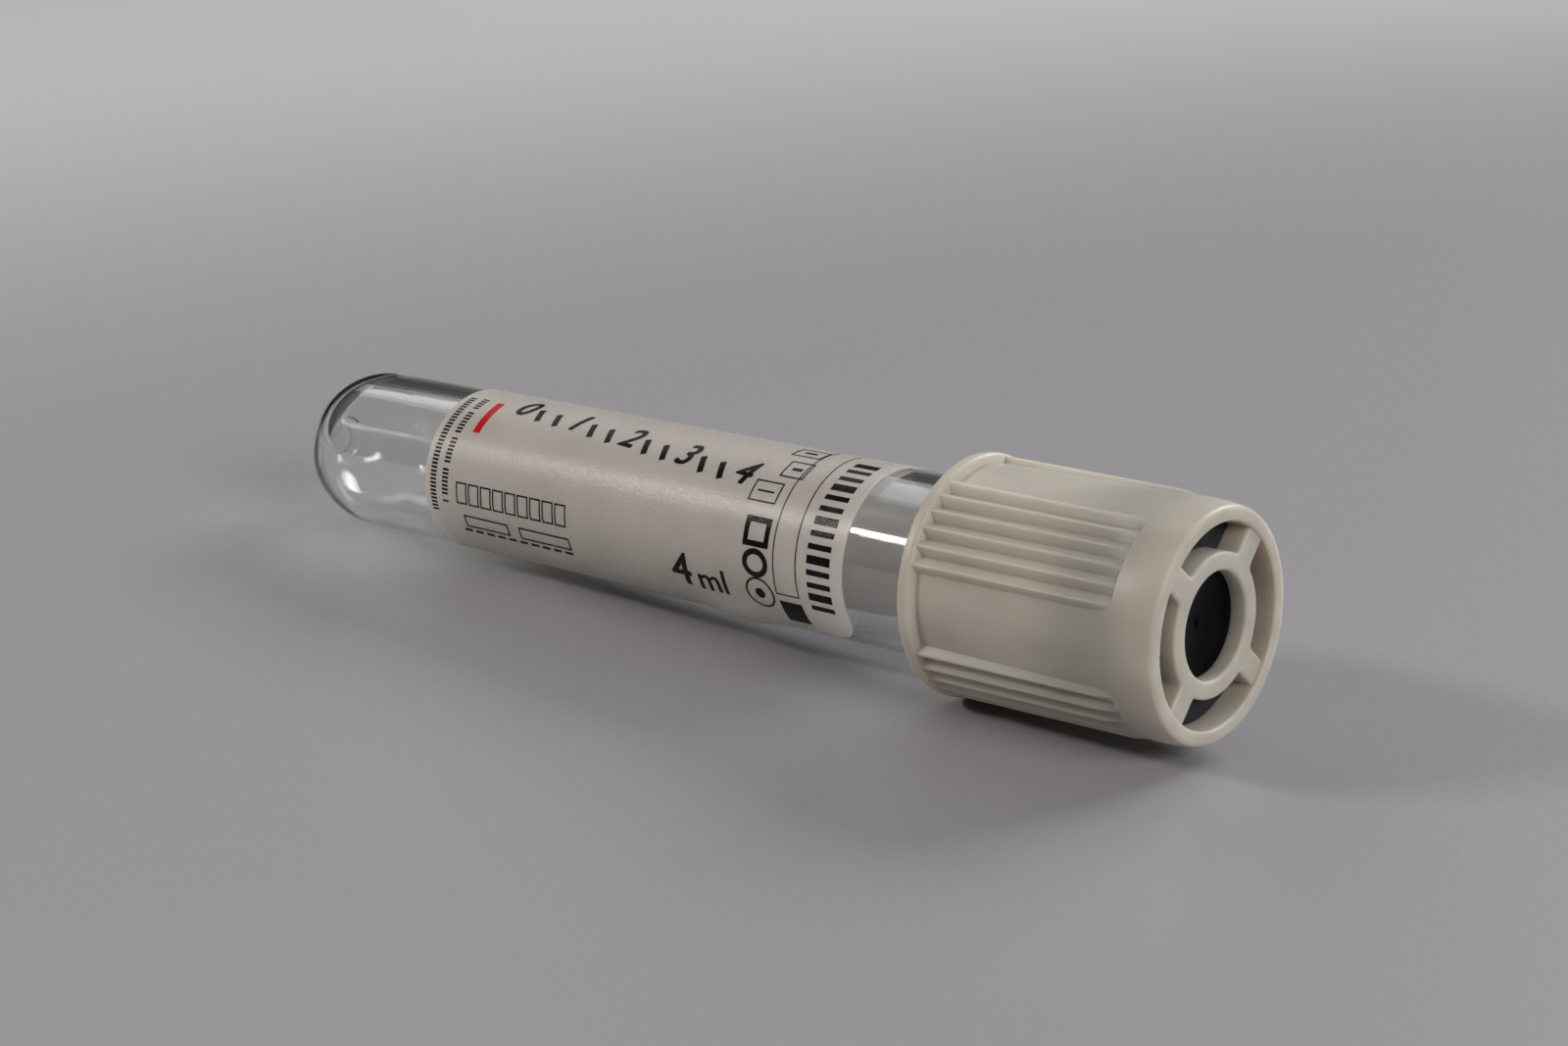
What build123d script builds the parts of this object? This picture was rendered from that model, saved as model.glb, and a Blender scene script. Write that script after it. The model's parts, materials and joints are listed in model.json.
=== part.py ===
from build123d import *
from math import asin, atan2, cos, degrees, hypot, radians, sin, sqrt, tan
import os

# Evacuated blood collection tube: a round-bottomed test tube with its label, and a rubber stopper held
# in a ridged safety cap. Each piece is modelled upright on +Z, with the outside of the tube's bottom at
# zero, and all are laid down at the end as the part comes to rest. Sizes are in millimetres. Angles
# round the axis are given as the part lies: from the top, positive towards -Y.

# --- test tube ---------------------------------------------------------------------------------------
tube_length = 75.0
tube_mouth_radius = 6.40
tube_wall = 0.95
tube_floor = 1.15
draft_angle = 0.3            # taper of the moulding, degrees a side
core_flat_radius = 1.90      # flat end of the core pin, inside the bottom
gate_radius = 1.25           # dimple round the injection point
gate_depth = 0.20
lip_rounding = 0.30

# --- label -------------------------------------------------------------------------------------------
label_start = 16.5           # from the tube's bottom
label_length = 40.5
label_thickness = 0.10
glue_thickness = 0.01
label_corner_radius = 3.4
label_corner_cut = 2.8       # from the corner to each end of its arc
label_front_edge = 143.0     # where the long edge towards -Y lies
label_back_edge = -165.0     # where the long edge towards +Y lies

# --- stopper -----------------------------------------------------------------------------------------
flange_thickness = 5.95
seat_gap = 0.05              # between the stopper's flange and the tube's mouth
plug_length = 8.0
plug_clearance = 0.05        # radial, in the tube's bore
plug_lead = 0.60             # chamfer that guides the plug in
pad_radius = 4.40            # raised needle area
pad_height = 0.50
dish_radius = 3.10
dish_depth = 0.22
hollow_radius = 3.50         # cup under the stopper
hollow_depth = 4.60
hollow_rounding = 1.20
flange_rounding = 0.30

# --- cap: its radii are the tube's, a clearance and the wall at each place --------------------------------
cap_length = 19.8
port_depth = 2.0             # from the cap's face to the stopper's flange
mouth_clearance = 0.30       # radial, round the tube's mouth
pocket_clearance = 0.05      # radial, round the stopper's flange
ledge = 0.28                 # radial, holds the flange in its pocket
entry_chamfer = 0.30
rim_wall = 1.72              # rear rim
rim_length = 0.85
rim_rounding = 0.32
rim_slope = 0.35             # length over which the rim falls to the skirt
skirt_rear_wall = 1.06
skirt_front_wall = 1.26
band_wall = 1.37             # crown of the smooth band behind the face
band_length = 3.0
face_wall = 1.15
face_rounding = 0.34
opening_step = 0.15          # radial, from the cap's bore out to the opening in its face
opening_rounding = 0.20

# --- cap's front: a collar on spokes -------------------------------------------------------------------
grille_recess = 0.25         # below the cap's face
collar_bore_radius = 3.62    # needle port
collar_radius = 4.86
spoke_count = 4
spoke_width = 1.85
spoke_angle = 47.0           # the first spoke and the first group of ridges
spoke_corner_radius = 0.45
grille_rounding = 0.24

# --- grip ridges, in a group on each spoke -------------------------------------------------------------
ridges_per_group = 6
ridge_pitch = 9.0            # degrees
ridge_rear_height = 0.62     # above the skirt
ridge_front_height = 0.32
ridge_runout = 1.70          # length over which a ridge falls into the band
ridge_root = 0.34            # sunk into the skirt
ridge_crest_rounding = 0.14
valley_depth = 0.16          # below the skirt, between two ridges of a group
valley_bed = 0.05            # cut below the valleys, where the ridges' roots fill it again
valley_end_gap = 0.35        # from the valleys' steep front end to the band

# --- derived heights and radii -------------------------------------------------------------------------
draft = tan(radians(draft_angle))
bore_mouth_radius = tube_mouth_radius - tube_wall
label_end = label_start + label_length
seat_z = tube_length + seat_gap
plug_z = seat_z - plug_length
stopper_z = seat_z + flange_thickness
pad_z = stopper_z + pad_height
face_z = stopper_z + port_depth
grille_z = face_z - grille_recess
cap_z = face_z - cap_length
skirt_z = cap_z + rim_length + rim_slope
band_z = face_z - band_length
cap_bore_radius = tube_mouth_radius + mouth_clearance
pocket_radius = cap_bore_radius + ledge
flange_radius = pocket_radius - pocket_clearance
rim_radius = cap_bore_radius + rim_wall
skirt_rear_radius = cap_bore_radius + skirt_rear_wall
skirt_front_radius = cap_bore_radius + skirt_front_wall
band_radius = cap_bore_radius + band_wall
face_radius = cap_bore_radius + face_wall
opening_radius = cap_bore_radius + opening_step


def drafted(mouth_radius, z):
    """Radius at height z of a drafted wall that has mouth_radius at the tube's mouth."""
    return mouth_radius - (tube_length - z) * draft


def dome_radius(mouth_radius, end_z):
    """Radius of the ball that meets a drafted wall smoothly and ends at height end_z."""
    slope = radians(draft_angle)
    return drafted(mouth_radius, end_z) / (cos(slope) - (1 - sin(slope)) * draft)


def meridian(angle):
    """Plane through the axis, with its x outwards at this angle and its y along the axis."""
    turn = radians(180 + angle)
    return Plane(origin=(0, 0, 0), x_dir=(cos(turn), sin(turn), 0), z_dir=(sin(turn), -cos(turn), 0))


def tangent_plane(angle):
    """Plane on the axis that faces outwards at this angle, with its y along the axis."""
    turn = radians(180 + angle)
    return Plane(origin=(0, 0, 0), x_dir=(-sin(turn), cos(turn), 0), z_dir=(cos(turn), sin(turn), 0))


# --- test tube: a drafted wall of even thickness, closed by a ball ---------------------------------------
outer_dome = dome_radius(tube_mouth_radius, 0)
inner_dome = dome_radius(bore_mouth_radius, tube_floor)
outer_tangent_z = outer_dome * (1 - sin(radians(draft_angle)))
inner_tangent_z = tube_floor + inner_dome * (1 - sin(radians(draft_angle)))
core_flat_z = tube_floor + inner_dome - sqrt(inner_dome**2 - core_flat_radius**2)

with BuildPart() as tube:
    with BuildSketch(Plane.XZ):
        with BuildLine():
            outer_tangent = (drafted(tube_mouth_radius, outer_tangent_z), outer_tangent_z)
            inner_tangent = (drafted(bore_mouth_radius, inner_tangent_z), inner_tangent_z)
            Line((0, 0), (0, core_flat_z))
            Line((0, core_flat_z), (core_flat_radius, core_flat_z))
            RadiusArc((core_flat_radius, core_flat_z), inner_tangent, -inner_dome)
            Line(inner_tangent, (bore_mouth_radius, tube_length))
            Line((bore_mouth_radius, tube_length), (tube_mouth_radius, tube_length))
            Line((tube_mouth_radius, tube_length), outer_tangent)
            RadiusArc(outer_tangent, (0, 0), outer_dome)
        make_face()
    revolve(axis=Axis.Z)
    with BuildSketch(Plane.XY):
        Circle(gate_radius)
    extrude(amount=gate_depth, mode=Mode.SUBTRACT)
    fillet(tube.edges().filter_by(GeomType.CIRCLE).group_by(Axis.Z)[-1], radius=lip_rounding)

# --- label: a thin film on the drafted wall, open along one side -----------------------------------------
with BuildPart() as label:
    with BuildSketch(meridian(label_back_edge)):
        with BuildLine():
            film_start = drafted(tube_mouth_radius, label_start) + glue_thickness
            film_end = drafted(tube_mouth_radius, label_end) + glue_thickness
            Polyline(
                (film_start, label_start),
                (film_start + label_thickness, label_start),
                (film_end + label_thickness, label_end),
                (film_end, label_end),
                close=True,
            )
        make_face()
    revolve(axis=Axis.Z, revolution_arc=label_front_edge - label_back_edge)
    # Round each corner with a cut that faces it. Its arc meets both edges at a slight angle.
    arc_inset = (label_corner_cut + sqrt(2 * label_corner_radius**2 - label_corner_cut**2)) / 2
    half_angle = degrees(label_corner_cut / 2 / film_end)
    for edge_angle, side in ((label_front_edge, 1), (label_back_edge, -1)):
        for end_z, inwards in ((label_start, 1), (label_end, -1)):
            corner = (side * label_corner_cut / 2, end_z)
            arc_centre = (corner[0] - side * arc_inset, end_z + inwards * arc_inset)
            with BuildSketch(tangent_plane(edge_angle - side * half_angle)):
                with Locations(corner):
                    Rectangle(2 * label_corner_cut, 2 * label_corner_cut)
                with Locations(arc_centre):
                    Circle(label_corner_radius, mode=Mode.SUBTRACT)
            extrude(amount=2 * film_end, mode=Mode.SUBTRACT)

# --- stopper: flange, plug, raised needle pad and the cup underneath --------------------------------------
with BuildPart() as stopper:
    with BuildSketch(Plane.XZ):
        with BuildLine():
            Polyline(
                (0, pad_z - dish_depth),
                (0, plug_z + hollow_depth),
                (hollow_radius, plug_z + hollow_depth),
                (hollow_radius, plug_z),
                (drafted(bore_mouth_radius, plug_z) - plug_clearance - plug_lead / 2, plug_z),
                (drafted(bore_mouth_radius, plug_z) - plug_clearance, plug_z + plug_lead),
                (bore_mouth_radius - plug_clearance, seat_z),
                (flange_radius, seat_z),
                (flange_radius, stopper_z),
                (pad_radius, stopper_z),
                (pad_radius, pad_z),
                (dish_radius, pad_z),
            )
            TangentArc((0, pad_z - dish_depth), (dish_radius, pad_z), tangent=(1, 0))
        make_face()
    revolve(axis=Axis.Z)
    rings = stopper.edges().filter_by(GeomType.CIRCLE)
    roof = rings.filter_by_position(Axis.Z, plug_z + hollow_depth, plug_z + hollow_depth)
    fillet(roof, radius=hollow_rounding)
    rings = stopper.edges().filter_by(GeomType.CIRCLE)
    fillet(rings.filter_by(lambda ring: abs(ring.radius - flange_radius) < 0.001), radius=flange_rounding)

# --- one grip ridge, drawn on +X: a wedge that falls towards the front and runs out into the band ----------
ridge_half_angle = radians(ridge_pitch / 2)
with BuildPart() as ridge:
    for z, skirt_radius, height in (
        (skirt_z - rim_slope, skirt_rear_radius, ridge_rear_height),
        (band_z - ridge_runout, skirt_front_radius, ridge_front_height),
        (band_z, skirt_front_radius, 0),
    ):
        # Each flank reaches the valley halfway to the next ridge, and goes on down to the root.
        half_width = skirt_radius * sin(ridge_half_angle)
        spread = half_width * (height + ridge_root) / (height + valley_depth)
        with BuildSketch(Plane.XY.offset(z)) as section:
            with BuildLine():
                Polyline(
                    (skirt_radius + height, 0),
                    (skirt_radius - ridge_root, spread),
                    (skirt_radius - ridge_root, -spread),
                    close=True,
                )
            make_face()
            fillet(section.vertices().sort_by(Axis.X)[-1], radius=ridge_crest_rounding)
    loft(ruled=True)

# --- bed under the valleys of one group of ridges, drawn on +X; its front end shows as small steps ----------
bed_depth = valley_depth + valley_bed
bed_end_z = band_z - valley_end_gap
bed_arc = ridge_pitch * (ridges_per_group - 1.5)
with BuildPart() as valley_cut:
    with BuildSketch(meridian(-180 - bed_arc / 2)):
        with BuildLine():
            Polyline(
                (skirt_rear_radius - bed_depth, skirt_z),
                (skirt_front_radius - bed_depth, bed_end_z),
                (rim_radius + ridge_rear_height, bed_end_z),
                (rim_radius + ridge_rear_height, skirt_z),
                close=True,
            )
        make_face()
    revolve(axis=Axis.Z, revolution_arc=bed_arc)

# --- cap's front: a collar round the needle port, on spokes that reach into the rim -------------------------
recess_radius = (pad_radius + collar_radius) / 2
with BuildPart() as grille:
    with BuildSketch(Plane.XY.offset(stopper_z)) as star:
        Circle(collar_radius)
        with PolarLocations(0, spoke_count, start_angle=180 + spoke_angle):
            Rectangle(opening_radius + ledge / 2, spoke_width, align=(Align.MIN, Align.CENTER))
        roots = star.vertices().filter_by(lambda root: hypot(root.X, root.Y) < opening_radius)
        fillet(roots, radius=spoke_corner_radius)
        Circle(collar_bore_radius, mode=Mode.SUBTRACT)
    extrude(amount=grille_z - stopper_z)
    with BuildSketch(Plane.XY.offset(stopper_z)):
        Circle(recess_radius)
    extrude(amount=pad_height, mode=Mode.SUBTRACT)
    front_edges = grille.edges().group_by(Axis.Z)[-1]
    fillet(
        front_edges.filter_by(lambda edge: hypot(edge.center().X, edge.center().Y) < opening_radius),
        radius=grille_rounding,
    )

# --- cap: rim, skirt and band round the stopper's pocket -----------------------------------------------------
with BuildPart() as cap:
    with BuildSketch(Plane.XZ):
        with BuildLine():
            Polyline(
                (face_radius, face_z),
                (opening_radius, face_z),
                (opening_radius, stopper_z),
                (pocket_radius, stopper_z),
                (pocket_radius, seat_z),
                (cap_bore_radius, seat_z),
                (cap_bore_radius, cap_z + entry_chamfer),
                (cap_bore_radius + entry_chamfer, cap_z),
                (rim_radius, cap_z),
                (rim_radius, cap_z + rim_length),
                (skirt_rear_radius, skirt_z),
                (skirt_front_radius, band_z - ridge_runout / 2),
            )
            ThreePointArc(
                (skirt_front_radius, band_z - ridge_runout / 2),
                (band_radius, band_z + ridge_runout / 2),
                (face_radius, face_z),
            )
        make_face()
    revolve(axis=Axis.Z)
    rings = cap.edges().filter_by(GeomType.CIRCLE)
    fillet(rings.filter_by(lambda ring: abs(ring.radius - rim_radius) < 0.001), radius=rim_rounding)
    fillet(cap.edges().filter_by(GeomType.CIRCLE).group_by(Axis.Z)[-1].sort_by(SortBy.RADIUS)[-1], face_rounding)
    fillet(cap.edges().filter_by(GeomType.CIRCLE).group_by(Axis.Z)[-1].sort_by(SortBy.RADIUS)[0], opening_rounding)

    # Grip ridges, one group behind each spoke.
    group_spread = ridge_pitch * (ridges_per_group - 1)
    with PolarLocations(0, spoke_count, start_angle=180 + spoke_angle):
        add(valley_cut.part, mode=Mode.SUBTRACT)
        with PolarLocations(0, ridges_per_group, -group_spread / 2, group_spread, endpoint=True):
            add(ridge.part)

    add(grille.part)

# --- lay the part down: it rests on the tube's ball and on the rim of the cap -------------------------------
contact_span = cap_z + rim_rounding - outer_dome
contact_drop = rim_radius - rim_rounding
tilt = atan2(contact_drop, contact_span) + asin((rim_rounding - outer_dome) / hypot(contact_span, contact_drop))

pieces = (tube, label, stopper, cap)
for piece in pieces:
    piece.part.move(Rotation(0, 90 - degrees(tilt), 0))
boxes = [piece.part.bounding_box() for piece in pieces]
middle_x = (min(box.min.X for box in boxes) + max(box.max.X for box in boxes)) / 2
lowest_z = min(box.min.Z for box in boxes)
for piece in pieces:
    piece.part.move(Location((-middle_x, 0, -lowest_z)))

tube.part.label = "tube"
label.part.label = "label"
stopper.part.label = "stopper"
cap.part.label = "cap"

print(f"tilt {degrees(tilt):.4f} degrees, tube bottom at x {-middle_x:.4f} z {-lowest_z:.4f}")

os.makedirs("parts", exist_ok=True)
export_step(tube.part, "parts/tube.step")
export_step(label.part, "parts/label.step")
export_step(stopper.part, "parts/stopper.step")
export_step(cap.part, "parts/cap.step")
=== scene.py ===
import json
from math import asin, cos, degrees, pi, radians, sin, sqrt, tan

import bpy
from mathutils import Matrix, Vector


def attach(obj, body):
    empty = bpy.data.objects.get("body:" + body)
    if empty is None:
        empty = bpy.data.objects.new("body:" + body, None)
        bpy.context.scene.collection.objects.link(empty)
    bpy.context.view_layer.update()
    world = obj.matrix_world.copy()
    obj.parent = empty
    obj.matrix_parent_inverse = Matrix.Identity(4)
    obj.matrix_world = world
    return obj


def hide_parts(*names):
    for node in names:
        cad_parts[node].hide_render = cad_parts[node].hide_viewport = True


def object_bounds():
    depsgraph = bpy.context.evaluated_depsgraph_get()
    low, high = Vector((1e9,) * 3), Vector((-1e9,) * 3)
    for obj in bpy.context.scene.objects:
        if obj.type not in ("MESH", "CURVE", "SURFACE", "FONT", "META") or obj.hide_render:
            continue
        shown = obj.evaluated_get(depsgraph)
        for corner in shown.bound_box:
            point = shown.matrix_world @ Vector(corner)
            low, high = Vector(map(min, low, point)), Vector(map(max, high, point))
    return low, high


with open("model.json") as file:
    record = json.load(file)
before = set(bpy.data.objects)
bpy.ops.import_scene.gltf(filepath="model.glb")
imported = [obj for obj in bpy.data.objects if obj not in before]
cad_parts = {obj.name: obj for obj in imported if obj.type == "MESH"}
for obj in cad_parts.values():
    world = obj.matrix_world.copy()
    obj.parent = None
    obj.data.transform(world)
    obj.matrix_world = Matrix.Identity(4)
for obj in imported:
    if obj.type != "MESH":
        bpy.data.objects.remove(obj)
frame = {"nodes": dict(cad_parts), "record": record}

bl_info = {
    "name": "Blood collection tube",
    "version": (1, 0, 0),
    "blender": (4, 5, 0),
    "location": "View3D > Sidebar > Blood tube",
    "description": "Dresses a capped blood collection tube with its printed label",
    "category": "Object",
}

MM = 0.001

# --- where the tube lies -----------------------------------------------------------------------------
# The tube's own space has Z along its axis from the tail, X up and Y to the front. A place on the
# wall is an angle from the top, positive towards the front, and a height from the tail.
tube_length = 75.0 * MM
port = next(m for m in frame["record"]["mounts"] if m["name"] == "needle_port")
axis = Vector(port["axis"]).normalized()
front = Vector((0, -1, 0))
top = front.cross(axis).normalized()
mouth = max((v.co - Vector(port["pos_m"])).dot(axis) for v in frame["nodes"]["tube"].data.vertices)
tail = Vector(port["pos_m"]) + axis * (mouth - tube_length)
LAID = Matrix.Translation(tail) @ Matrix((top, front, axis)).transposed().to_4x4()
CAD_BOX = [list(corner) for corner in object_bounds()]


# --- sizes and colours ---------------------------------------------------------------------------------
def length(name, text, value_mm):
    """A length property, given in millimetres."""
    return bpy.props.FloatProperty(
        name=name, description=text, default=value_mm * MM, min=0.0, precision=5, unit="LENGTH")


def turn(name, text, value):
    """An angle property, given in degrees."""
    return bpy.props.FloatProperty(name=name, description=text, default=radians(value), subtype="ANGLE")


def power(name, text, value):
    """A lamp's power property, given in watts."""
    return bpy.props.FloatProperty(name=name, description=text, default=value, unit="POWER")


def shade(name, text, value):
    """A colour property, given as sRGB hex."""
    return bpy.props.FloatVectorProperty(
        name=name, description=text, size=4, min=0.0, max=1.0, subtype="COLOR", default=linear(value))


def linear(text):
    """Turns an sRGB hex colour to linear."""
    parts = [int(text[i:i + 2], 16) / 255 for i in (1, 3, 5)]
    return tuple(c / 12.92 if c <= 0.04045 else ((c + 0.055) / 1.055) ** 2.4 for c in parts) + (1.0,)


class TubeSizes(bpy.types.PropertyGroup):
    """Sizes of the clear test tube."""
    mouth_radius: length("Mouth radius", "Outside of the wall at the mouth", 6.40)
    wall: length("Wall", "Thickness of the wall", 0.95)
    floor: length("Floor", "Thickness at the middle of the round bottom", 1.15)
    draft: turn("Draft", "Taper of the moulding, a side", 0.3)
    core_flat: length("Core flat", "Radius of the flat inside the bottom", 1.90)
    core_step: length("Core step", "Depth of the flat's edge", 0.20)
    gate_radius: length("Gate radius", "Dimple round the injection point", 1.25)
    gate_depth: length("Gate depth", "Depth of the dimple", 0.20)
    lip_rounding: length("Lip rounding", "Rounding of the mouth's edges", 0.30)
    steps: bpy.props.IntProperty(name="Steps", description="Steps round the axis", default=192, min=24)


class LabelSizes(bpy.types.PropertyGroup):
    """Sizes of the label and its print."""
    start: length("Start", "From the tail to the label", 16.5)
    length: length("Length", "Along the tube", 40.5)
    thickness: length("Thickness", "Of the film", 0.10)
    glue: length("Glue", "Gap filled by the adhesive", 0.01)
    corner: length("Corner", "Rounding of the corners", 2.8)
    front_edge: turn("Front edge", "Angle of the long edge at the front", 143.0)
    back_edge: turn("Back edge", "Angle of the long edge at the back", -165.0)
    ink: length("Ink", "Thickness of the printed ink", 0.008)
    lifted_at: length("Lifted at", "Middle of the place where the front edge has come away", 46.6)
    lifted_span: length("Lifted span", "Half the length of that place", 5.4)
    lifted_by: length("Lifted by", "Height of the loose edge above the wall", 0.45)


class Finishes(bpy.types.PropertyGroup):
    """Colours of the materials."""
    pet: shade("PET", "Clear polyester of the tube", "#FDFEFD")
    film: shade("Label film", "White satin film", "#EFE9E2")
    black_ink: shade("Black ink", "Ink of the print", "#0D0B0C")
    red_ink: shade("Red ink", "Ink of the coloured mark", "#C01622")
    rubber: shade("Rubber", "Butyl rubber of the needle pad", "#060607")
    bloomed_rubber: shade("Bloomed rubber", "Duller rubber of the flange", "#3A3A3C")
    ivory: shade("Ivory", "Polypropylene of the cap", "#CBC6BB")
    ivory_deep: shade("Deep ivory", "Thicker places of the cap", "#C1BBB0")
    # Painted shade: a darker ivory painted where the black flange sits behind the cap's translucent wall.
    ivory_dim: shade("Dim ivory", "Where the rubber's black shows through the cap's wall", "#B1ADA5")
    table: shade("Table", "Pale table under the tube", "#A6A5A8")
    # Painted light: a paler table colour painted well off to the left of the tube, standing in for brighter light
    # there.
    table_far: shade("Far table", "The same table, where it is paler", "#D9D8DB")


class StudioSizes(bpy.types.PropertyGroup):
    """Camera and lamps."""
    lens: bpy.props.FloatProperty(name="Lens", description="Focal length in mm", default=72.51, subtype="NONE")
    distance: length("Distance", "From the camera to its aim", 227.224)
    azimuth: turn("Azimuth", "Turn of the camera round the object", 39.8445)
    elevation: turn("Elevation", "Height of the camera as an angle", 18.3244)
    aim_right: length("Aim right", "Aim from the object's middle, to the right", 3.784)
    aim_down: length("Aim down", "Aim from the object's middle, downwards", 1.080)
    key_power: power("Key", "Power of the strip lamp", 1.50)
    side_power: power("Side", "Power of the lamp up at the left", 0.35)
    back_power: power("Back", "Power of the lamp behind", 5.6)
    front_power: power("Front", "Power of the lamp in front of the cap", 4.8)
    fill: bpy.props.FloatProperty(name="Fill", description="Strength of the room's even light", default=0.14)


# --- working with the mesh tools ------------------------------------------------------------------------
def only(*pieces):
    """Leaves only these objects selected, the first of them active."""
    bpy.ops.object.select_all(action="DESELECT")
    for piece in pieces:
        piece.select_set(True)
    bpy.context.view_layer.objects.active = pieces[0]


def edit(piece):
    """Opens a piece in edit mode with all of it selected."""
    only(piece)
    bpy.ops.object.mode_set(mode="EDIT")
    bpy.ops.mesh.select_all(action="SELECT")


def leave_edit():
    bpy.ops.object.mode_set(mode="OBJECT")


def named(name):
    """Names the active object, and gives it back."""
    piece = bpy.context.object
    piece.name = name
    piece.data.name = name
    return piece


def settled(piece):
    """Puts a piece's place into its mesh."""
    only(piece)
    bpy.ops.object.transform_apply(location=True, rotation=True, scale=True)
    return piece


def laid_down(piece, body, material, angle=35.0):
    """Finishes a piece made in the tube's own space: smooth, laid on the table, dressed, riding."""
    settled(piece)
    piece.data.transform(LAID)
    bpy.ops.object.shade_smooth_by_angle(angle=radians(angle))
    piece.data.materials.clear()
    piece.data.materials.append(material)
    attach(piece, body)
    return piece


# --- working with materials -----------------------------------------------------------------------------
def add_node(tree, kind, settings=None, links=None):
    """Adds one node with its settings, and links its inputs to other nodes' outputs."""
    node = tree.nodes.new(kind)
    for key, value in (settings or {}).items():
        if isinstance(key, str) and hasattr(node, key):
            setattr(node, key, value)
        else:
            node.inputs[key].default_value = value
    for key, output in (links or {}).items():
        tree.links.new(output, node.inputs[key])
    return node


def new_material(name):
    """An empty material with its output and Principled shader."""
    material = bpy.data.materials.new(name)
    material.use_nodes = True
    tree = material.node_tree
    tree.nodes.clear()
    shader = add_node(tree, "ShaderNodeBsdfPrincipled")
    add_node(tree, "ShaderNodeOutputMaterial", links={"Surface": shader.outputs[0]})
    return material, tree, shader


def blended(tree, share, shader, other):
    """Mixes a second shader into the material's output, by a number or an output."""
    out = next(node for node in tree.nodes if node.bl_idname == "ShaderNodeOutputMaterial")
    mix = add_node(tree, "ShaderNodeMixShader", links={1: shader.outputs[0], 2: other.outputs[0]})
    if hasattr(share, "is_linked"):
        tree.links.new(share, mix.inputs[0])
    else:
        mix.inputs[0].default_value = share
    tree.links.new(mix.outputs[0], out.inputs["Surface"])


def tube_space(tree):
    """The tube's own space, in metres, read from Object coordinates."""
    place = add_node(tree, "ShaderNodeTexCoord")
    location, rotation, _ = LAID.decompose()
    return add_node(tree, "ShaderNodeMapping", {
        "vector_type": "TEXTURE", "Location": location, "Rotation": rotation.to_euler(),
    }, {"Vector": place.outputs["Object"]}).outputs[0]


def mixed(tree, factor, a, b):
    """Mixes two colours by a factor output."""
    node = add_node(tree, "ShaderNodeMix", {"data_type": "RGBA"}, {0: factor})
    for socket, value in ((6, a), (7, b)):
        if hasattr(value, "is_linked"):
            tree.links.new(value, node.inputs[socket])
        else:
            node.inputs[socket].default_value = value
    return node.outputs[2]


def ranged(tree, value, low, high, to_low, to_high):
    """Maps a value smoothly from one range to another."""
    return add_node(tree, "ShaderNodeMapRange", {
        "interpolation_type": "SMOOTHSTEP", 1: low, 2: high, 3: to_low, 4: to_high}, {0: value}).outputs[0]


def grain(tree, vector, size_mm, detail=2.0, stretch=None, roughness=0.5):
    """Noise whose features are about size_mm across."""
    if stretch:
        vector = add_node(tree, "ShaderNodeMapping", {"Scale": stretch}, {"Vector": vector}).outputs[0]
    return add_node(tree, "ShaderNodeTexNoise", {
        "Scale": 1 / (size_mm * MM), "Detail": detail, "Roughness": roughness}, {"Vector": vector}).outputs[0]


def relief(tree, height, depth_mm, strength=1.0):
    """A bump of a real depth."""
    return add_node(tree, "ShaderNodeBump", {"Strength": strength, "Distance": depth_mm * MM},
                    {"Height": height}).outputs[0]


def clear_pet():
    """Clear PET, injection moulded on polished steel: glassy, with faint lines along its straight wall.
    Rays from the lamps pass it, so that what is inside and behind it is lit."""
    material, tree, shader = new_material("clear_moulded_pet")
    space = tube_space(tree)
    draw = grain(tree, space, 1.1, detail=1.5, stretch=(1.0, 1.0, 0.06))
    # The core leaves its lines along the straight wall when it is drawn out, and none in the round bottom.
    along = add_node(tree, "ShaderNodeSeparateXYZ", links={0: space}).outputs[2]
    wall = ranged(tree, along, 5.0 * MM, 12.0 * MM, 0.0, 1.0)
    lines = add_node(tree, "ShaderNodeMath", {"operation": "MULTIPLY"}, {0: draw, 1: wall}).outputs[0]
    shader.inputs["Base Color"].default_value = bpy.context.scene.tube_finishes.pet
    shader.inputs["Transmission Weight"].default_value = 1.0
    shader.inputs["IOR"].default_value = 1.575
    tree.links.new(ranged(tree, draw, 0.3, 0.7, 0.030, 0.075), shader.inputs["Roughness"])
    tree.links.new(relief(tree, lines, 0.010, 1.0), shader.inputs["Normal"])
    passed = add_node(tree, "ShaderNodeBsdfTransparent", {"Color": linear("#D4D6D5")})
    blended(tree, add_node(tree, "ShaderNodeLightPath").outputs["Is Shadow Ray"], shader, passed)
    return material


def label_film():
    """White polypropylene film, satin varnished: its fine grain breaks a highlight into sparks."""
    material, tree, shader = new_material("satin_label_film")
    space = tube_space(tree)
    grit = grain(tree, space, 0.24, detail=3.0, roughness=0.7)
    cloud = grain(tree, space, 6.0, detail=2.0)
    film = bpy.context.scene.tube_finishes.film
    dull = tuple(c * 0.93 for c in film[:3]) + (1.0,)
    tone = mixed(tree, ranged(tree, cloud, 0.35, 0.65, 0.0, 1.0), film, dull)
    tree.links.new(tone, shader.inputs["Base Color"])
    tree.links.new(ranged(tree, grit, 0.3, 0.7, 0.19, 0.31), shader.inputs["Roughness"])
    tree.links.new(relief(tree, grit, 0.030, 1.0), shader.inputs["Normal"])
    # A film this thin lets part of the light through.
    blended(tree, 0.5, shader, add_node(tree, "ShaderNodeBsdfTranslucent", {"Color": linear("#FCFAF8")}))
    return material


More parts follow.
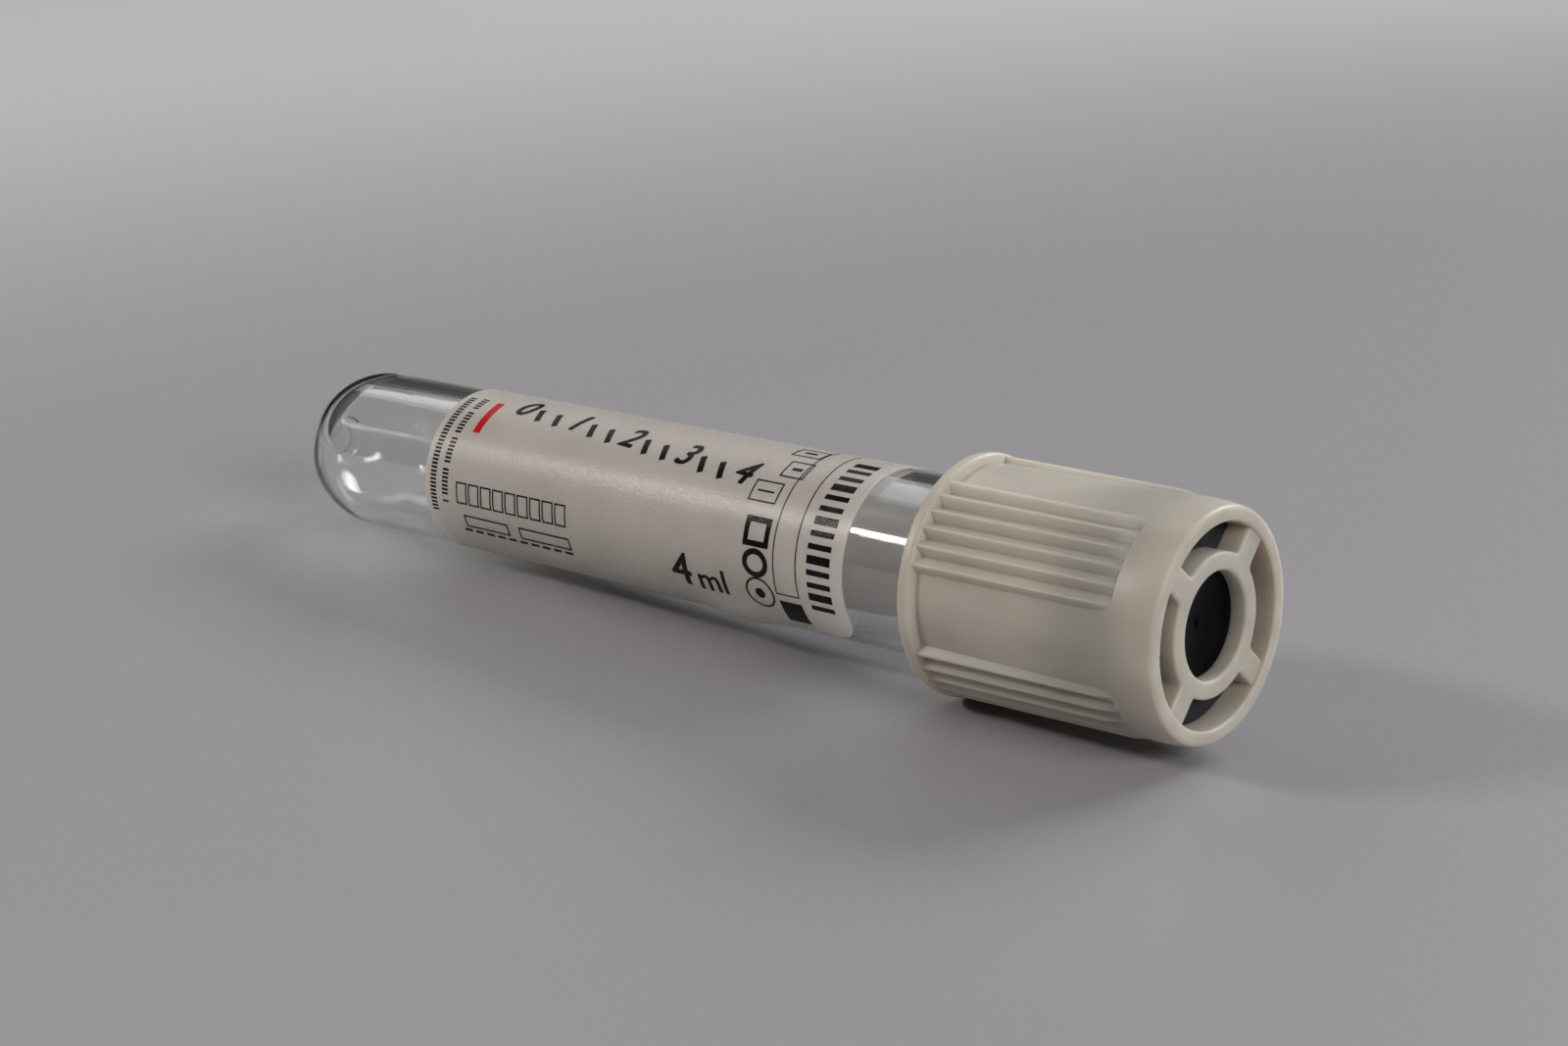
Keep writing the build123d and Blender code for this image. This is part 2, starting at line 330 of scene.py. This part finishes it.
def label_ink(name, colour):
    """Printing ink under the same varnish: flat colour with a slight mottle and the film's sheen."""
    material, tree, shader = new_material(name)
    space = tube_space(tree)
    grit = grain(tree, space, 0.24, detail=3.0, roughness=0.7)
    mottle = grain(tree, space, 0.5)
    thin = tuple(c * 1.5 + 0.002 for c in colour[:3]) + (1.0,)
    shader.inputs["Specular IOR Level"].default_value = 0.15
    tone = mixed(tree, ranged(tree, mottle, 0.45, 0.75, 0.0, 1.0), colour, thin)
    tree.links.new(tone, shader.inputs["Base Color"])
    tree.links.new(ranged(tree, grit, 0.3, 0.7, 0.19, 0.31), shader.inputs["Roughness"])
    tree.links.new(relief(tree, grit, 0.030, 1.0), shader.inputs["Normal"])
    return material


def butyl_rubber():
    """Butyl rubber: the wiped needle pad is glossy black, and the flange has a dull grey bloom."""
    material, tree, shader = new_material("moulded_butyl_rubber")
    finishes = bpy.context.scene.tube_finishes
    space = tube_space(tree)
    flat = add_node(tree, "ShaderNodeVectorMath", {"operation": "MULTIPLY", 1: (1, 1, 0)}, {0: space})
    out = add_node(tree, "ShaderNodeVectorMath", {"operation": "LENGTH"}, {0: flat.outputs[0]}).outputs[1]
    flange = ranged(tree, out, 4.25 * MM, 4.45 * MM, 0.0, 1.0)
    grit = grain(tree, space, 0.12, detail=3.0)
    dull = ranged(tree, grain(tree, space, 1.8), 0.35, 0.7, 0.0, 1.0)
    darker = tuple(c * 0.7 for c in finishes.bloomed_rubber[:3]) + (1.0,)
    bloom = mixed(tree, dull, finishes.bloomed_rubber, darker)
    tree.links.new(mixed(tree, flange, finishes.rubber, bloom), shader.inputs["Base Color"])
    tree.links.new(ranged(tree, flange, 0.0, 1.0, 0.13, 0.55), shader.inputs["Roughness"])
    tree.links.new(relief(tree, grit, 0.006, 0.4), shader.inputs["Normal"])
    shader.inputs["Specular IOR Level"].default_value = 0.05
    return material


def ivory_polypropylene():
    """Ivory polypropylene, moulded with a fine spark finish: waxy, a little translucent, satin."""
    material, tree, shader = new_material("ivory_moulded_polypropylene")
    finishes = bpy.context.scene.tube_finishes
    space = tube_space(tree)
    spark = grain(tree, space, 0.14, detail=3.0, roughness=0.6)
    flow = grain(tree, space, 3.2, detail=2.0, stretch=(1.0, 1.0, 0.35))
    # Painted shade: the wall is painted darker in a band where the black flange sits behind it, with a soft
    # uneven edge.
    along = add_node(tree, "ShaderNodeSeparateXYZ", links={0: space}).outputs[2]
    along = add_node(tree, "ShaderNodeMath", {
        "operation": "MULTIPLY_ADD", 1: 2.4 * MM}, {0: flow, 2: along}).outputs[0]
    rising = ranged(tree, along, 73.2 * MM, 79.0 * MM, 0.0, 1.0)
    cloud = ranged(tree, along, 79.4 * MM, 83.6 * MM, 1.0, 0.0)
    cloud = add_node(tree, "ShaderNodeMath", {"operation": "MULTIPLY"}, {0: rising, 1: cloud}).outputs[0]
    ivory = mixed(tree, ranged(tree, flow, 0.35, 0.7, 0.0, 1.0), finishes.ivory, finishes.ivory_deep)
    tree.links.new(mixed(tree, cloud, ivory, finishes.ivory_dim), shader.inputs["Base Color"])
    tree.links.new(ranged(tree, spark, 0.3, 0.7, 0.36, 0.50), shader.inputs["Roughness"])
    tree.links.new(relief(tree, spark, 0.007, 0.5), shader.inputs["Normal"])
    shader.inputs["Subsurface Weight"].default_value = 0.85
    shader.inputs["Subsurface Radius"].default_value = (1.0, 0.87, 0.72)
    shader.inputs["Subsurface Scale"].default_value = 1.9 * MM
    shader.inputs["IOR"].default_value = 1.49
    return material


def table_surface():
    """Pale satin laminate: a soft blurred reflection close to what stands on it."""
    material, tree, shader = new_material("pale_laminate")
    place = add_node(tree, "ShaderNodeTexCoord").outputs["Object"]
    wide = grain(tree, place, 160.0, detail=1.0)
    table = bpy.context.scene.tube_finishes.table
    deep = tuple(c * 0.94 for c in table[:3]) + (1.0,)
    # Painted light: the laminate is painted paler well off to the left of the tube than under it, standing in for
    # brighter light there.
    off = add_node(tree, "ShaderNodeVectorMath", {
        "operation": "DOT_PRODUCT", 1: (-0.96, 0.28, 0.0)}, {0: place}).outputs[1]
    far_painted_light = bpy.context.scene.tube_finishes.table_far
    tone = mixed(tree, wide, table, deep)
    tree.links.new(mixed(tree, ranged(tree, off, 0.05, 0.26, 0.0, 1.0), tone, far_painted_light), shader.inputs["Base Color"])
    fine = grain(tree, place, 0.5, detail=2.0)
    tree.links.new(ranged(tree, fine, 0.3, 0.7, 0.36, 0.44), shader.inputs["Roughness"])
    shader.inputs["Specular IOR Level"].default_value = 0.35
    return material


# --- the tube --------------------------------------------------------------------------------------------
def wall_radius(height, mouth_radius, draft):
    """Radius of a drafted wall at a height from the tail."""
    return mouth_radius - (tube_length - height) * tan(draft)


def ball_radius(end, mouth_radius, draft):
    """Radius of the ball that meets a drafted wall smoothly and ends at a height."""
    return wall_radius(end, mouth_radius, draft) / (cos(draft) - (1 - sin(draft)) * tan(draft))


def arc(middle, radius, start, stop, count):
    """Points on an arc in the section, angles in degrees."""
    turns = [radians(start + (stop - start) * i / count) for i in range(count + 1)]
    return [(middle[0] + radius * cos(t), middle[1] + radius * sin(t)) for t in turns]


def tube_section(sizes):
    """The tube's section as (radius, height) from the axis outside, up the wall and back down the bore."""
    draft = sizes.draft
    outer = ball_radius(0.0, sizes.mouth_radius, draft)
    bore = sizes.mouth_radius - sizes.wall
    inner = ball_radius(sizes.floor, bore, draft)
    gate_angle = degrees(asin(sizes.gate_radius / outer))
    core_angle = degrees(asin((sizes.core_flat + 0.06 * MM) / inner))
    tilt = degrees(draft)
    lip = sizes.lip_rounding
    points = [(0.0, sizes.gate_depth), (sizes.gate_radius * 0.5, sizes.gate_depth)]
    points += [(sizes.gate_radius * 0.86, sizes.gate_depth)]
    points += [(sizes.gate_radius * 0.95, sizes.gate_depth * 0.93)]
    points += arc((0.0, outer), outer, gate_angle - 90, -tilt, 26)
    rise = outer * (1 - sin(draft))
    for i in range(1, 12):
        height = rise + (tube_length - lip - rise) * i / 12
        points.append((wall_radius(height, sizes.mouth_radius, draft), height))
    points += arc((sizes.mouth_radius - lip, tube_length - lip), lip, 0, 90, 9)
    points += arc((bore + lip, tube_length - lip), lip, 90, 180, 9)
    rise = sizes.floor + inner * (1 - sin(draft))
    for i in range(11, 0, -1):
        height = rise + (tube_length - lip - rise) * i / 12
        points.append((wall_radius(height, bore, draft), height))
    points += arc((0.0, sizes.floor + inner), inner, -tilt, core_angle - 90, 22)
    core = sizes.floor + inner - sqrt(inner ** 2 - sizes.core_flat ** 2)
    # The core pin's flat end leaves a shallow step, which shows as a ring in the bottom.
    points += [(sizes.core_flat, core), (sizes.core_flat - sizes.core_step / 2, core - sizes.core_step)]
    points += [(sizes.core_flat * 0.5, core - sizes.core_step), (0.0, core - sizes.core_step)]
    return points


class BLOODTUBE_OT_tube(bpy.types.Operator):
    """Spins the clear round-bottomed tube from its section"""
    bl_idname = "bloodtube.tube"
    bl_label = "Tube"

    def execute(self, context):
        sizes = context.scene.tube_sizes
        section = [Vector((radius, 0, height)) for radius, height in tube_section(sizes)]
        bpy.ops.object.select_all(action="DESELECT")
        bpy.ops.mesh.primitive_plane_add(size=MM, location=section[0])
        tube = settled(named("clear_tube"))
        edit(tube)
        bpy.ops.mesh.merge(type="CENTER")
        for start, end in zip(section, section[1:]):
            bpy.ops.mesh.extrude_region_move(TRANSFORM_OT_translate={"value": end - start})
        bpy.ops.mesh.select_all(action="SELECT")
        bpy.ops.mesh.spin(steps=sizes.steps, angle=2 * pi, center=(0, 0, 0), axis=(0, 0, 1))
        bpy.ops.mesh.select_all(action="SELECT")
        bpy.ops.mesh.remove_doubles(threshold=0.0005 * MM)
        bpy.ops.mesh.normals_make_consistent(inside=False)
        leave_edit()
        laid_down(tube, "vessel", clear_pet(), 32.0)
        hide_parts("tube")
        return {"FINISHED"}


# --- the label and its print -----------------------------------------------------------------------------
# Both are made flat and then rolled on to the wall. On the flat sheet X is the height from the tail,
# Y runs up towards the top of the tube, and Z is the height above the wall.
ROLL_RADIUS = 6.33 * MM      # the wall's radius where the print was laid out
CUT = 0.0001 * MM            # a cut this near an edge follows it
STRIKE_RISE = 0.0012         # in millimetres taken as metres: parts the strikes of one figure
LIFT_FROM = 119              # degrees from the top, where the film starts to stand off


# The volume scale: a row that runs slightly downhill towards the cap.
SCALE_PITCH = 1.93           # millimetres from one step to the next
SCALE_START = 22.6           # millimetres from the tail, where the row's angle is measured
SCALE_FALL = 0.89            # degrees round the tube for each millimetre along it
SCALE_SLOPE = -5.6           # degrees, slope of the row on the flat sheet


def sheet_y(angle):
    """The flat sheet's Y for an angle in degrees from the top."""
    return -radians(angle) * ROLL_RADIUS


def lifted(angle, height, sizes):
    """How far the film stands off the wall, where its front edge has come away."""
    reach = (degrees(angle) - LIFT_FROM) / (degrees(sizes.front_edge) - LIFT_FROM)
    reach = min(max(reach, 0.0), 1.0)
    along = min(abs(height - sizes.lifted_at) / sizes.lifted_span, 1.0)
    return sizes.lifted_by * reach * reach * (3 - 2 * reach) * (0.5 + 0.5 * cos(pi * along))


def roll_up(piece, low, high, step=3.0):
    """Divides a flat piece across every few degrees, and rolls it on to the drafted wall."""
    sizes = bpy.context.scene.label_sizes
    tube = bpy.context.scene.tube_sizes
    edit(piece)
    for i in range(int(low // step), int(high // step) + 1):
        bpy.ops.mesh.select_all(action="SELECT")
        bpy.ops.mesh.bisect(plane_co=(0, sheet_y(i * step), 0), plane_no=(0, 1, 0), threshold=CUT)
    leave_edit()
    for vertex in piece.data.vertices:
        height, y, above = vertex.co
        angle = -y / ROLL_RADIUS
        radius = wall_radius(height, tube.mouth_radius, tube.draft) + above + lifted(angle, height, sizes)
        vertex.co = (radius * cos(angle), radius * sin(angle), height)
    piece.data.update()


def thickened(piece, thickness):
    """Gives a flat sheet its thickness, upwards."""
    only(piece)
    solid = piece.modifiers.new("thickness", "SOLIDIFY")
    solid.thickness = thickness
    solid.offset = 1.0
    bpy.ops.object.modifier_apply(modifier="thickness")


class BLOODTUBE_OT_label(bpy.types.Operator):
    """Cuts the label flat with rounded corners, and rolls it round the tube"""
    bl_idname = "bloodtube.label"
    bl_label = "Label"

    def execute(self, context):
        sizes = context.scene.label_sizes
        top_y = sheet_y(degrees(sizes.back_edge))
        low_y = sheet_y(degrees(sizes.front_edge))
        middle = (sizes.start + sizes.length / 2, (top_y + low_y) / 2, sizes.glue)
        bpy.ops.object.select_all(action="DESELECT")
        bpy.ops.mesh.primitive_plane_add(size=1, location=middle)
        label = named("label_sheet")
        label.scale = (sizes.length, top_y - low_y, 1)
        settled(label)
        edit(label)
        bpy.ops.mesh.bevel(offset=sizes.corner, offset_type="OFFSET", segments=10, affect="VERTICES")
        for i in range(1, 30):
            bpy.ops.mesh.select_all(action="SELECT")
            x = sizes.start + sizes.length * i / 30
            bpy.ops.mesh.bisect(plane_co=(x, 0, 0), plane_no=(1, 0, 0), threshold=CUT)
        leave_edit()
        thickened(label, sizes.thickness)
        roll_up(label, degrees(sizes.back_edge), degrees(sizes.front_edge), 3.0)
        laid_down(label, "vessel", label_film(), 40.0)
        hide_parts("label")
        return {"FINISHED"}


def print_height():
    """The label's outer face above the wall."""
    sizes = bpy.context.scene.label_sizes
    return sizes.glue + sizes.thickness + 0.002 * MM


def open_print(name):
    """Starts a print object with nothing on it yet, open in edit mode."""
    bpy.ops.object.select_all(action="DESELECT")
    bpy.ops.mesh.primitive_plane_add(size=MM)
    sheet = named(name)
    edit(sheet)
    bpy.ops.mesh.delete(type="VERT")
    return sheet


def stamp(height, angle, along, across, line=0.0, slope=0.0, shape="bar"):
    """Adds one printed shape at a place on the label, in mm: a bar, or a frame of that line width."""
    place = (height * MM, sheet_y(angle), print_height())
    if shape == "ring":
        bpy.ops.mesh.primitive_circle_add(vertices=40, radius=0.5, fill_type="NGON", location=place)
    else:
        bpy.ops.mesh.primitive_plane_add(size=1, location=place)
    bpy.ops.transform.resize(value=(along * MM, across * MM, 1), center_override=place)
    if slope:
        bpy.ops.transform.rotate(value=radians(slope), orient_axis="Z", center_override=place)
    if line:
        bpy.ops.mesh.inset(thickness=line * MM)
        bpy.ops.mesh.delete(type="FACE")


def figures(text, height, angle, size, slant=0.0, slope=0.0, bold=0.0, spacing=1.0):
    """Plain figures whose baseline starts at a place on the label, as a flat mesh. They are made in
    millimetres taken as metres, because a curve fills badly when it is very small, and are struck
    several times a little apart to thicken their strokes, because an offset closes a figure's hole."""
    bpy.ops.object.select_all(action="DESELECT")
    bpy.ops.object.text_add()
    writing = bpy.context.object
    writing.data.body = text
    writing.data.size = size
    writing.data.shear = slant
    writing.data.space_character = spacing
    writing.data.resolution_u = 4
    bpy.ops.object.convert(target="MESH")
    writing = bpy.context.object
    if bold:
        edit(writing)
        for along, across in ((bold, 0), (-bold / 2, bold), (-bold, -bold / 2)):
            bpy.ops.mesh.duplicate_move(TRANSFORM_OT_translate={"value": (along, across, STRIKE_RISE)})
        leave_edit()
    writing.scale = (MM, MM, MM)
    writing.rotation_euler = (0, 0, radians(slope))
    writing.location = (height * MM, sheet_y(angle), print_height())
    return settled(writing)


def close_print(sheet, extras, name, material, low, high):
    """Joins the shapes and figures of one colour, thickens them to ink and rolls them on."""
    leave_edit()
    only(sheet, *extras)
    if extras:
        bpy.ops.object.join()
    sheet.name = name
    thickened(sheet, bpy.context.scene.label_sizes.ink)
    roll_up(sheet, low, high, 3.0)
    laid_down(sheet, "vessel", material, 30.0)


class BLOODTUBE_OT_print(bpy.types.Operator):
    """Prints the label with plain generic fields: a volume scale, write-in boxes, frames and rules"""
    bl_idname = "bloodtube.print"
    bl_label = "Print"

    def execute(self, context):
        finishes = context.scene.tube_finishes
        self.black(finishes)
        self.red(finishes)
        return {"FINISHED"}

    def black(self, finishes):
        sheet = open_print("print_black")
        # Ink-jet row: a volume scale of slanting ticks, with its figures added below.
        for i in range(13):
            if i % 3:
                height = 22.9 + SCALE_PITCH * i
                stamp(height, 16.0 + SCALE_FALL * (height - SCALE_START), 0.50, 1.55, slope=SCALE_SLOPE - 14)
        # Write-in boxes, and the ruled line below them.
        for i in range(9):
            stamp(20.35 + 1.28 * i, 88.0, 1.12, 1.72, line=0.13)
        for i in range(10):
            stamp(20.3 + 1.16 * i, 116.6, 0.80, 0.24)
        stamp(22.6, 108.6, 4.6, 1.05, line=0.14)
        stamp(28.6, 108.6, 5.2, 1.05, line=0.14)
        # Column of marks towards the cap.
        stamp(49.35, 111.4, 2.55, 2.55, line=0.16, shape="ring")
        stamp(49.35, 111.4, 0.85, 0.85, shape="ring")
        stamp(49.3, 90.5, 2.3, 2.1, line=0.42, shape="ring")
        stamp(49.3, 70.5, 2.3, 2.1, line=0.42)
        # Small framed boxes.
        stamp(50.2, 23.2, 2.1, 1.75, line=0.13)
        stamp(50.2, 23.2, 0.9, 0.30)
        stamp(49.6, 1.8, 2.6, 1.45, line=0.13)
        stamp(49.6, 1.8, 1.1, 0.25)
        stamp(48.9, 44.0, 2.5, 1.7, line=0.12)
        stamp(48.9, 44.0, 1.5, 0.14)
        # Long frame round the label, and the solid block that closes it.
        stamp(51.95, 41.0, 2.1, 15.0, line=0.10)
        stamp(52.0, 123.0, 2.0, 2.05)
        # Bold band of short bars next to the label's edge.
        for i in range(14):
            stamp(54.95, 6.5 + 8.2 * i, 2.05, 0.40 if i % 3 else 0.60)
        # Two rows of small dashes at the tail end.
        for i in range(34):
            stamp(17.35, 13.0 + 2.75 * i, 0.62, 0.17)
            if i < 31 and i % 8 != 5:
                stamp(18.6, 12.0 + 2.8 * i, 0.62, 0.17)
        leave_edit()
        extras = []
        for i in range(5):
            height = 22.1 + SCALE_PITCH * 3 * i
            angle = 21.2 + SCALE_FALL * (height - SCALE_START)
            extras.append(figures(str(i), height, angle, 3.0, slant=0.25, slope=SCALE_SLOPE, bold=0.10))
        extras.append(figures("4", 41.2, 118.5, 3.75, bold=0.075))
        extras.append(figures("ml", 43.5, 119.6, 2.9, bold=0.05))
        edit(sheet)
        close_print(sheet, extras, "print_black", label_ink("black_printing_ink", finishes.black_ink), -10, 135)

    def red(self, finishes):
        sheet = open_print("print_red")
        # One plain bar, square to the tube.
        stamp(20.35, 28.5, 0.70, 3.40)
        close_print(sheet, [], "print_red", label_ink("red_printing_ink", finishes.red_ink), 6, 60)


# --- the stopper and the cap, which keep the CAD's shapes ---------------------------------------------------
class BLOODTUBE_OT_closure(bpy.types.Operator):
    """Dresses the rubber stopper and the ridged cap"""
    bl_idname = "bloodtube.closure"
    bl_label = "Stopper and cap"

    def execute(self, context):
        for node, material in (("stopper", butyl_rubber()), ("cap", ivory_polypropylene())):
            slots = frame["nodes"][node].material_slots
            for slot in slots:
                slot.material = material
        return {"FINISHED"}


# --- the stage -----------------------------------------------------------------------------------------------
def lamp(name, direction, distance, size, power, colour, aim):
    """A soft rectangular lamp in a direction from the aim."""
    place = aim + Vector(direction).normalized() * distance
    turned = (aim - place).to_track_quat("-Z", "Y").to_euler()
    bpy.ops.object.light_add(type="AREA", location=place, rotation=turned)
    light = named(name)
    light.data.shape = "RECTANGLE"
    light.data.size, light.data.size_y = size
    light.data.energy = power
    light.data.color = colour
    return light


class BLOODTUBE_OT_stage(bpy.types.Operator):
    """Adds the pale table, the lamps and the camera"""
    bl_idname = "bloodtube.stage"
    bl_label = "Stage"

    def execute(self, context):
        studio = context.scene.tube_studio
        low, high = (Vector(corner) for corner in CAD_BOX)
        middle = (low + high) / 2
        bpy.ops.object.select_all(action="DESELECT")
        bpy.ops.mesh.primitive_plane_add(size=4.0, location=(0, 0, low.z))
        table = settled(named("table"))
        edit(table)
        bpy.ops.mesh.subdivide(number_cuts=3)
        leave_edit()
        table.data.materials.append(table_surface())

        # Each lamp's name, direction, distance and size in metres, power and colour.
        for name, direction, distance, size, watts, colour in (
                ("strip_lamp", (-0.608, -0.585, 0.531), 0.65, (0.15, 0.050), studio.key_power, (1.0, 0.95, 0.88)),
                ("side_lamp", (-0.64, 0.36, 0.68), 0.70, (0.34, 0.30), studio.side_power, (0.96, 0.98, 1.0)),
                ("back_lamp", (0.14, 0.84, 0.52), 0.95, (0.60, 0.30), studio.back_power, (0.98, 0.98, 1.0)),
                ("front_lamp", (0.86, -0.20, 0.47), 1.05, (0.50, 0.32), studio.front_power, (1.0, 0.98, 0.95))):
            lamp(name, direction, distance, size, watts, colour, middle)

        world = context.scene.world or bpy.data.worlds.new("room")
        context.scene.world = world
        world.use_nodes = True
        world.node_tree.nodes.clear()
        tree = world.node_tree
        # The room: paler overhead than round about.
        place = add_node(tree, "ShaderNodeTexCoord").outputs["Generated"]
        up = add_node(tree, "ShaderNodeSeparateXYZ", links={0: place}).outputs[2]
        rise = ranged(tree, up, -0.05, 0.9, 0.0, 1.0)
        room = mixed(tree, rise, linear("#77777A"), linear("#FDFDFF"))
        room = add_node(tree, "ShaderNodeBackground", {"Strength": studio.fill}, {"Color": room})
        add_node(tree, "ShaderNodeOutputWorld", links={"Surface": room.outputs[0]})

        azimuth, elevation = studio.azimuth, studio.elevation
        ahead = Vector((-sin(azimuth) * cos(elevation), cos(azimuth) * cos(elevation), -sin(elevation)))
        right = Vector((cos(azimuth), sin(azimuth), 0))
        aim = middle + right * studio.aim_right - right.cross(ahead) * studio.aim_down
        bpy.ops.object.camera_add(location=aim - ahead * studio.distance,
                                  rotation=ahead.to_track_quat("-Z", "Y").to_euler())
        camera = named("camera")
        camera.data.lens = studio.lens
        camera.data.sensor_width = 36.0
        camera.data.clip_start = 0.005
        context.scene.camera = camera
        context.scene.view_settings.view_transform = "Standard"
        return {"FINISHED"}


class BLOODTUBE_PT_panel(bpy.types.Panel):
    """Lists the pieces of the blood tube and their sizes"""
    bl_idname = "BLOODTUBE_PT_panel"
    bl_label = "Blood tube"
    bl_space_type = "VIEW_3D"
    bl_region_type = "UI"
    bl_category = "Blood tube"

    def draw(self, context):
        for operator in OPERATORS:
            self.layout.operator(operator.bl_idname)
        for group in GROUPS:
            settings = getattr(context.scene, group)
            box = self.layout.box()
            for key in settings.bl_rna.properties.keys():
                if key not in {"rna_type", "name"}:
                    box.prop(settings, key)


GROUPS = {
    "tube_sizes": TubeSizes,
    "label_sizes": LabelSizes,
    "tube_finishes": Finishes,
    "tube_studio": StudioSizes,
}
OPERATORS = (
    BLOODTUBE_OT_tube, BLOODTUBE_OT_label, BLOODTUBE_OT_print, BLOODTUBE_OT_closure, BLOODTUBE_OT_stage,
)


def register():
    for group, kind in GROUPS.items():
        bpy.utils.register_class(kind)
        setattr(bpy.types.Scene, group, bpy.props.PointerProperty(type=kind))
    for kind in OPERATORS + (BLOODTUBE_PT_panel,):
        bpy.utils.register_class(kind)


def unregister():
    for kind in (BLOODTUBE_PT_panel,) + OPERATORS[::-1]:
        bpy.utils.unregister_class(kind)
    for group, kind in GROUPS.items():
        delattr(bpy.types.Scene, group)
        bpy.utils.unregister_class(kind)


def main():
    register()
    bpy.ops.bloodtube.tube()
    bpy.ops.bloodtube.label()
    bpy.ops.bloodtube.print()
    bpy.ops.bloodtube.closure()
    bpy.ops.bloodtube.stage()


if __name__ == "__main__":
    main()
